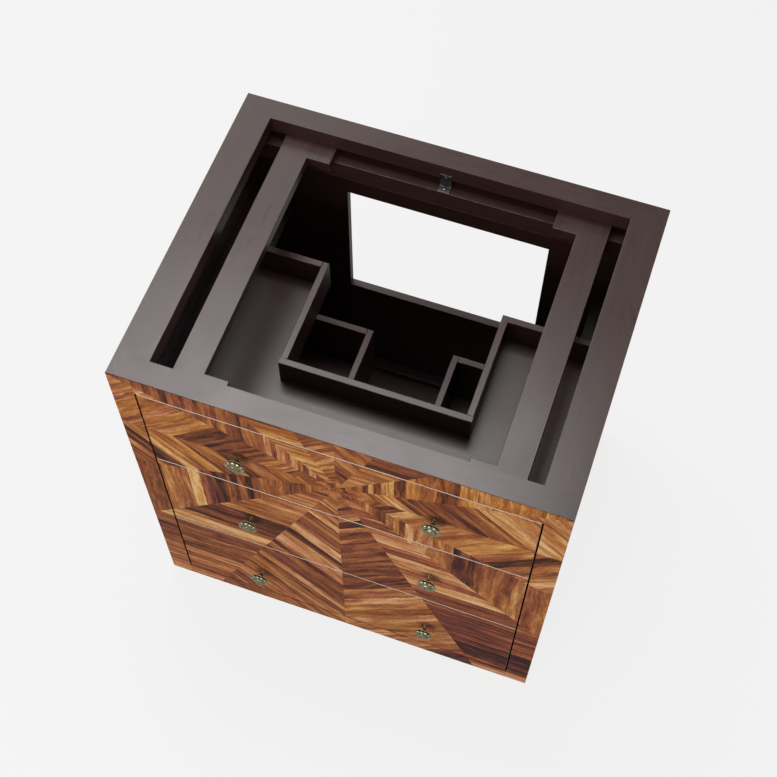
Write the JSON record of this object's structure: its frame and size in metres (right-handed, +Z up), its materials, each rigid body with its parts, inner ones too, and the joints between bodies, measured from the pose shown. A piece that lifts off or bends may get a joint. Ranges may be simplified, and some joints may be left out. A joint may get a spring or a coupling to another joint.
{
  "type": "vanity base cabinet",
  "caption": "Bathroom vanity base cabinet with an open top, a star-parquet veneered front and full-width drawers that slide on undermount slides and clear the waste pipe.",
  "frame": {"origin": "centre of the whole footprint, knobs included, on the floor", "axes": "+X to the right seen from the front, +Y towards the back, +Z up; the drawers open along -Y"},
  "size_m": [0.762, 0.625, 0.822],
  "materials": {
    "veneer": "oiled mixed-tone hardwood strips laid as an eight-pointed star, satin",
    "lacquer": "espresso brown satin lacquer, faint grain",
    "interior": "dark espresso stain, matt",
    "brass": "aged antique brass, hammered",
    "steel": "bright zinc plate"
  },
  "bodies": {
    "cabinet": {"angle_bracket": "steel", "back_cleat": "interior", "back_panel": "interior", "back_top_rail": "lacquer", "bottom_panel": "interior", "bracket_screws": "steel", "c_rail_left": "lacquer", "c_rail_right": "lacquer", "drawer_bottom_slide_rails": "steel", "drawer_middle_slide_rails": "steel", "drawer_top_slide_rails": "steel", "face_rail_bottom": "veneer", "face_rail_top": "veneer", "side_panel_left": "veneer", "side_panel_right": "veneer", "slide_spacers_left": "interior", "slide_spacers_right": "interior", "stile_left": "veneer", "stile_right": "veneer", "top_frame_back": "lacquer", "top_frame_front": "lacquer", "top_frame_left": "lacquer", "top_frame_right": "lacquer"},
    "drawer_top": {"drawer_top_back": "interior", "drawer_top_box_front": "interior", "drawer_top_cutout_front": "interior", "drawer_top_cutout_left": "interior", "drawer_top_cutout_right": "interior", "drawer_top_floor": "interior", "drawer_top_front": "veneer", "drawer_top_knobs": "brass", "drawer_top_runners": "steel", "drawer_top_screws": "steel", "drawer_top_side_left": "interior", "drawer_top_side_right": "interior"},
    "carriages_top": {"drawer_top_carriages": "steel"},
    "drawer_middle": {"drawer_middle_back": "interior", "drawer_middle_box_front": "interior", "drawer_middle_cutout_front": "interior", "drawer_middle_cutout_left": "interior", "drawer_middle_cutout_right": "interior", "drawer_middle_floor": "interior", "drawer_middle_front": "veneer", "drawer_middle_knobs": "brass", "drawer_middle_runners": "steel", "drawer_middle_screws": "steel", "drawer_middle_side_left": "interior", "drawer_middle_side_right": "interior"},
    "carriages_middle": {"drawer_middle_carriages": "steel"},
    "drawer_bottom": {"drawer_bottom_back": "interior", "drawer_bottom_box_front": "interior", "drawer_bottom_floor": "interior", "drawer_bottom_front": "veneer", "drawer_bottom_knobs": "brass", "drawer_bottom_runners": "steel", "drawer_bottom_screws": "steel", "drawer_bottom_side_left": "interior", "drawer_bottom_side_right": "interior"},
    "carriages_bottom": {"drawer_bottom_carriages": "steel"}
  },
  "joints": [
    {"name": "drawer_top_slide", "type": "slide", "parent": "cabinet", "child": "drawer_top", "axis": [0, -1, 0], "range_m": [0, 0.36]},
    {"name": "carriages_top_slide", "type": "slide", "parent": "cabinet", "child": "carriages_top", "axis": [0, -1, 0], "range_m": [0, 0.18]},
    {"name": "drawer_middle_slide", "type": "slide", "parent": "cabinet", "child": "drawer_middle", "axis": [0, -1, 0], "range_m": [0, 0.36]},
    {"name": "carriages_middle_slide", "type": "slide", "parent": "cabinet", "child": "carriages_middle", "axis": [0, -1, 0], "range_m": [0, 0.18]},
    {"name": "drawer_bottom_slide", "type": "slide", "parent": "cabinet", "child": "drawer_bottom", "axis": [0, -1, 0], "range_m": [0, 0.36]},
    {"name": "carriages_bottom_slide", "type": "slide", "parent": "cabinet", "child": "carriages_bottom", "axis": [0, -1, 0], "range_m": [0, 0.18]}
  ],
  "couplings": [
    {"joint": "carriages_top_slide", "follows": "drawer_top_slide", "ratio": 0.5},
    {"joint": "carriages_middle_slide", "follows": "drawer_middle_slide", "ratio": 0.5},
    {"joint": "carriages_bottom_slide", "follows": "drawer_bottom_slide", "ratio": 0.5}
  ]
}
